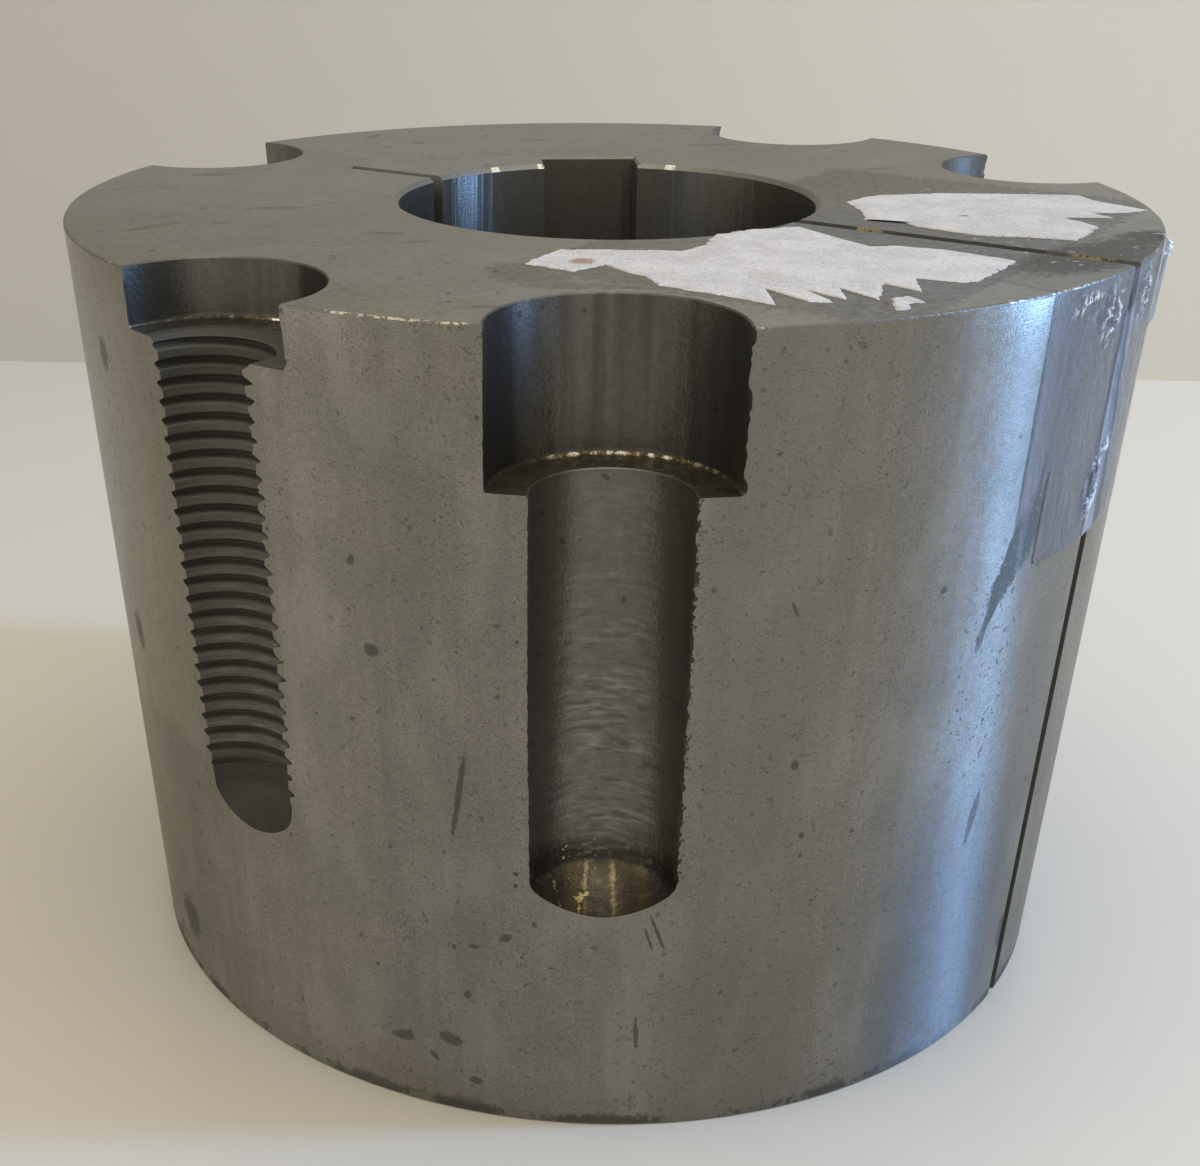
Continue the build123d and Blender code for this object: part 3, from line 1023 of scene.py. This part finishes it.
def makeLabelPaper():
    # torn white paper: cloudy where layers are missing, fine fibres, a few dark specks, one brown stain
    material, at = startMaterial("labelPaper", Roughness=0.85)
    cloud = noise(at.point, 0.16, 4, 0.6)
    fibre = noise(at.point, 3, 3, 0.7)
    colour = blend(cloud.ramp(0.35, 0.65), finish["paper"], finish["paperPale"])
    colour = lay(colour, "fibrePale", fibre.ramp(0.3, 0.75, 0, 0.4))
    colour = lay(colour, "fibreDark", fibre.ramp(0.48, 0.3, 0, 0.75))
    specks = useGroup(grainGroup, point=at.point, fleckSize=0.6, fleckCover=0.05, pitSpacing=4.6)
    colour = lay(colour, "paperSpeck", specks.pit * 0.75)
    brown = (distanceTo(at, *label["spot"]) + (fibre - 0.5) * 3).ramp(2.2, 1.2)
    colour = lay(colour, "paperStain", brown * 0.85)
    return endMaterial(material, colour, fibre + cloud * 2, 0.12)


paper = makeLabelPaper()
for part in ("front", "back", "crumb"):
    scrap = labelScrap("label" + part.capitalize(), label[part], len(part) * 7)
    scrap.data.materials.append(paper)
    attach(scrap, "root")
print("label scraps laid")


# Clear tape over the rim, across the split and down the side. Angles in degrees, sizes in mm.
tape = {
    "fromAngle": -53.1, "toAngle": -21.9,
    "fromAlong": 69,      # where it starts on the end, out along the split
    "endHeight": 77,
    "tornAngle": -49.2, "tornLow": 83, "tornHigh": 90,
    "columns": 300, "flatRows": 24, "bendRows": 4, "downRows": 190,
    "bend": 0.5,
    "lift": 0.12,
    "cockle": 0.1,
    "liftOnEnd": 0.6,
    "edgeWidth": 0.24,
    # folds: angle and height at the top, angle and height at the bottom, how high it stands, half width
    "folds": (
        (-38.6, 111, -37, 98, 0.45, 0.32), (-37, 98, -36.2, 90, 0.5, 0.3),
        (-36.2, 90, -35, 78, 0.45, 0.35), (-43.8, 111.5, -41.5, 106, 0.4, 0.3),
        (-45, 109.5, -44, 107.5, 0.3, 0.3), (-39.4, 88, -39.9, 80, 0.4, 0.4),
        (-33.6, 112, -34.6, 106.5, 0.6, 0.6), (-26, 113.5, -28, 104, 0.7, 0.8),
    ),
    # crinkled patches: angle, height, half width and half height in mm, how high they stand
    "crinkles": (
        (-42.6, 109, 2.6, 3.4, 0.9), (-47.5, 111.5, 3, 1.6, 0.5), (-34.2, 109.5, 1.6, 3.5, 0.9),
        (-39, 84.5, 1.8, 4.5, 0.9), (-37.6, 89.5, 1.2, 2, 0.8), (-24.5, 113, 2, 3, 1.3),
    ),
}


def tapeSheet():
    # strip laid in upright planes: inwards over the flat end, round the rim, then down the side, lifted along each
    # fold by a bell curve of the distance from it
    t, top, big, bend = tape, bush["length"], bush["largeRadius"], tape["bend"]
    angle = np.linspace(t["fromAngle"], t["toAngle"], t["columns"])
    angle = np.unique(np.concatenate([angle, [t["tornAngle"] - 0.01, t["tornAngle"] + 0.01]]))
    tornShare = (angle - t["fromAngle"]) / (t["tornAngle"] - t["fromAngle"])
    tornEdge = t["tornLow"] + tornShare * (t["tornHigh"] - t["tornLow"])
    low = np.where(angle < t["tornAngle"], tornEdge, t["endHeight"])
    low = low + (latticeNoise(angle * 4, angle * 0, 21) - 0.5) * 0.5
    start = t["fromAlong"] / np.cos(np.radians(angle - bush["splitAngle"]))
    start = start + (latticeNoise(angle * 3, angle * 0, 22) - 0.5) * 0.8
    flat = np.linspace(0, 1, t["flatRows"])[:, None]
    curl = np.linspace(0, math.pi / 2, t["bendRows"] + 2)[1:-1, None] + 0 * angle
    down = np.linspace(0, 1, t["downRows"])[:, None]
    zDown = (top - bend) * (1 - down) + low * down
    rFlat = start * (1 - flat) + (big - bend) * flat
    r = np.vstack([rFlat, big - bend + bend * np.sin(curl), coneRadius(zDown)])
    z = np.vstack([np.full(rFlat.shape, top), top - bend + bend * np.cos(curl), zDown])
    up = np.vstack([np.ones(rFlat.shape), np.cos(curl), np.zeros(zDown.shape)])
    wide = np.broadcast_to(angle, r.shape)
    fold = np.zeros(r.shape)
    for a0, z0, a1, z1, stands, half in t["folds"]:
        share = np.clip((z0 - z) / (z0 - z1), -0.25, 1.25)
        wander = 0.5 * (latticeNoise(z / 2.2, wide * 0, int(z0)) - 0.5)
        away = arcAt(wide - (a0 + (a1 - a0) * share)) + wander
        ends = np.exp(-(np.clip(np.abs(share - 0.5) - 0.42, 0, 1) / 0.12) ** 2)
        fold = np.maximum(fold, stands * np.exp(-(away / half) ** 2) * ends)
    ridges = 1 - np.abs(2 * latticeNoise(wide * 1.1, z / 1.5, 31, wrap=211) - 1)
    creases = 1 - np.abs(2 * latticeNoise(wide * 2.3, z / 0.6, 33, wrap=211) - 1)
    shine, grimeAndCreaseShade = np.zeros(r.shape), np.zeros(r.shape)
    for a0, z0, across, tall, stands in t["crinkles"]:
        inside = np.exp(-(arcAt(wide - a0) / across) ** 2 - ((z - z0) / tall) ** 2)
        strong = np.clip(inside * 1.5, 0, 1)
        fold = np.maximum(fold, stands * inside * (0.6 * ridges ** 3 + 0.4 * creases ** 3))
        # painted highlights on the crinkles' ridges, painted shade in their creases
        shine = np.maximum(shine, strong * np.clip((0.5 * ridges + 0.5 * creases - 0.72) / 0.14, 0, 1))
        grimeAndCreaseShade = np.maximum(grimeAndCreaseShade, strong * np.clip((0.45 - creases) / 0.2, 0, 1))
    # on the flat end only what is close to the rim is crinkled
    nearRim = np.where(up > 0.99, np.clip(1 - (big - r) / 3, 0, 1), 1)
    shine, grimeAndCreaseShade = shine * nearRim, grimeAndCreaseShade * nearRim
    lift = t["lift"] + t["cockle"] * latticeNoise(wide * 0.5, z / 3, 23) + fold * nearRim
    r, z = r + lift * (1 - up), z + np.minimum(lift, t["liftOnEnd"]) * up
    turned = np.radians(wide)
    points = np.stack([r * np.cos(turned), r * np.sin(turned), z], -1).reshape(-1, 3)
    sheet = meshPiece("clearTape", points, gridQuads(*r.shape)[:, ::-1])
    gap = arcAt(np.minimum(np.abs(wide - t["fromAngle"]), np.abs(wide - t["toAngle"])))
    gap = np.minimum(gap, np.abs(z - low[None]))
    besideTear = (wide > t["tornAngle"] - 0.5) & (z < t["tornHigh"])
    gap = np.where(besideTear, np.minimum(gap, arcAt(np.abs(wide - t["tornAngle"]))), gap)
    edge = np.maximum(np.exp(-(gap / t["edgeWidth"]) ** 2), grimeAndCreaseShade * 0.7)
    for name, values in (("tapeEdgeAndCreaseShade", edge), ("tapeFold", np.clip(lift - 0.3, 0, 1)), ("tapeShine", shine)):
        attribute = sheet.data.attributes.new(name, "FLOAT", "POINT")
        attribute.data.foreach_set("value", values.astype(np.float32).ravel())
    return sheet


def makeClearTape():
    # clear film: mostly see-through, greyer where it is lifted, dark with dirt along its cut edges and with painted
    # shade in its creases, painted white highlights on its crinkles; bluish on the side as a painted window reflection
    material, at = startMaterial("clearTape", Roughness=0.09)
    names = ("tapeEdgeAndCreaseShade", "tapeFold", "tapeShine")
    tree = material.node_tree
    edge, fold, shine = (addNode(tree, "ShaderNodeAttribute", {}, "Fac", attribute_name=name) for name in names)
    cloud = noise(join(at.arc * 0.9, at.height * 0.25, at.radius * 0.4), 1, 3, 0.7)
    # painted reflection: bluish film on the side for the window's light, dark brown film on the end
    colour = blend(at.height.ramp(113.9, 114.2), finish["film"], finish["filmOnEnd"])
    colour = lay(colour, "filmFold", fold)
    colour = lay(colour, "filmEdgeAndCreaseShade", edge)
    colour = lay(colour, "filmShine", shine)
    alpha = cloud.ramp(0.3, 0.7, 0.2, 0.46) * at.height.ramp(113.9, 114.2, 1, 0.3)
    alpha = (alpha + highest(edge, fold, shine) * 0.5).clamped()
    # milky where it bridges the split, below a notch that stays open at the top
    fromSplit = abs(at.arc - arcAt(bush["splitAngle"]))
    alpha = highest(alpha, fromSplit.ramp(2.8, 1.4) * at.height.ramp(110, 107.5, 0, 0.9))
    return endMaterial(material, colour, cloud, 0.05, Alpha=alpha)


film = tapeSheet()
film.data.materials.append(makeClearTape())
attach(film, "root")
print("tape laid")


# Table and wall, in mm
setting = {
    "tableLeft": (0.565, 0.53, 0.45), "tableRight": (0.64, 0.585, 0.49), "tableRough": 0.35,
    "wallLeft": (0.52, 0.485, 0.4), "wallRight": (0.65, 0.59, 0.47), "wallRough": 0.8,
    "turn": -5,          # the room's turn round the bush's axis, in degrees
    "side": 1800, "front": -1500, "wallBehind": 308, "wallHalf": 900,
    "paleFrom": -200, "paleTo": 170,
}


def roomPlane(name, corners, material):
    # flat stage surface between four corners given in the room's own directions: right, away and up
    (right, away, up), (c, s) = np.array(corners).T, aimed(setting["turn"])
    points = np.column_stack([right * c - away * s, right * s + away * c, up])
    plane = meshPiece(name, points, [[0, 1, 2, 3]], smooth=False)
    plane.data.materials.append(material)


def makePaleSurface(name, left, right, rough):
    # plain pale paint, a little paler towards the right as painted light
    material, at = startMaterial(name, Roughness=rough)
    return endMaterial(material, blend(at.x.ramp(setting["paleFrom"], setting["paleTo"]), left, right))


def makeWall():
    # pale wall that is seen from its front only, so that other views look through it
    material = makePaleSurface("paleWall", setting["wallLeft"], setting["wallRight"], setting["wallRough"])
    tree = material.node_tree
    behind = addNode(tree, "ShaderNodeNewGeometry", {}, "Backfacing")
    clear = addNode(tree, "ShaderNodeBsdfTransparent", {})
    paint = Wire(tree.nodes["Principled BSDF"].outputs[0])
    mixed = addNode(tree, "ShaderNodeMixShader", {0: behind, 1: paint, 2: clear})
    feed(tree.nodes["Material Output"].inputs["Surface"], mixed)
    return material


side, front, far, half = (setting[key] for key in ("side", "front", "wallBehind", "wallHalf"))
table = makePaleSurface("paleTable", setting["tableLeft"], setting["tableRight"], setting["tableRough"])
wall = makeWall()
roomPlane("tableTop", [(-side, front, 0), (side, front, 0), (side, far, 0), (-side, far, 0)], table)
roomPlane("backWall", [(-side, far, -half), (side, far, -half), (side, far, half), (-side, far, half)], wall)

# Light: a soft sky all round, a broad soft lamp above, a weak one on the left and a cool window on the right. Lamps
# are given by place and size in m, brightness and colour; the window's place by its turn and rise in degrees.
lighting = {
    "sky": (1, 0.95, 0.865), "skyStrength": 0.79,
    "aim": (0, 0, 0.06),
    "above": ((0.1, -0.15, 1.5), (1.4, 1.4), 1.5, (1, 0.955, 0.88)),
    "left": ((-1.35, -0.45, 0.55), (1, 0.9), 0.7, (1, 0.955, 0.88)),
    "windowTurn": -5.5, "windowRise": 26, "windowDistance": 1.3,
    "window": ((0.12, 0.85), 51, (0.25, 0.5, 1)),
}


def areaLamp(name, place, size, strength, colour):
    # rectangular lamp that faces the bush; its power follows from the brightness of its face: power = pi x area x
    # brightness
    lamp = bpy.data.lights.new(name, "AREA")
    lamp.shape, lamp.size, lamp.size_y = "RECTANGLE", *size
    lamp.energy, lamp.color = math.pi * size[0] * size[1] * strength, colour
    holder = bpy.data.objects.new(name, lamp)
    holder.location = place
    holder.rotation_mode = "QUATERNION"
    holder.rotation_quaternion = (Vector(place) - Vector(lighting["aim"])).to_track_quat("Z", "Y")
    bpy.context.scene.collection.objects.link(holder)


areaLamp("lampAbove", *lighting["above"])
areaLamp("lampLeft", *lighting["left"])
across, up = aimed(lighting["windowRise"]) * lighting["windowDistance"]
areaLamp("lampWindow", (*across * aimed(lighting["windowTurn"]), up), *lighting["window"])
world = bpy.data.worlds.new("softSky")
world.use_nodes = True
sky = world.node_tree.nodes["Background"].inputs
feed(sky["Color"], lighting["sky"])
feed(sky["Strength"], lighting["skyStrength"])
bpy.context.scene.world = world

# Camera: stands in front of the bush and looks down on it. Distances in m, angles in degrees.
view = {
    "azimuth": -95, "distance": 0.26955, "height": 0.16257, "nearest": 0.01,
    "heading": 1.782, "tilt": 20.898, "roll": 0.076,
    "lens": 52.64, "sensor": 36, "shiftX": 0.0776, "shiftY": -0.0448,
}
camera = bpy.data.objects.new("camera", bpy.data.cameras.new("camera"))
bpy.context.scene.collection.objects.link(camera)
camera.data.lens, camera.data.sensor_width = view["lens"], view["sensor"]
camera.data.shift_x, camera.data.shift_y = view["shiftX"], view["shiftY"]
camera.data.clip_start = view["nearest"]
camera.location = (*view["distance"] * aimed(view["azimuth"]), view["height"])
turns = ((-view["heading"], "Z"), (90 - view["tilt"], "X"), (view["roll"], "Z"))
heading, tilt, roll = (Matrix.Rotation(math.radians(angle), 3, axis) for angle, axis in turns)
camera.rotation_mode = "QUATERNION"
camera.rotation_quaternion = (heading @ tilt @ roll).to_quaternion()
bpy.context.scene.camera = camera
bpy.context.scene.view_settings.view_transform = "Standard"
print("camera and light ready")
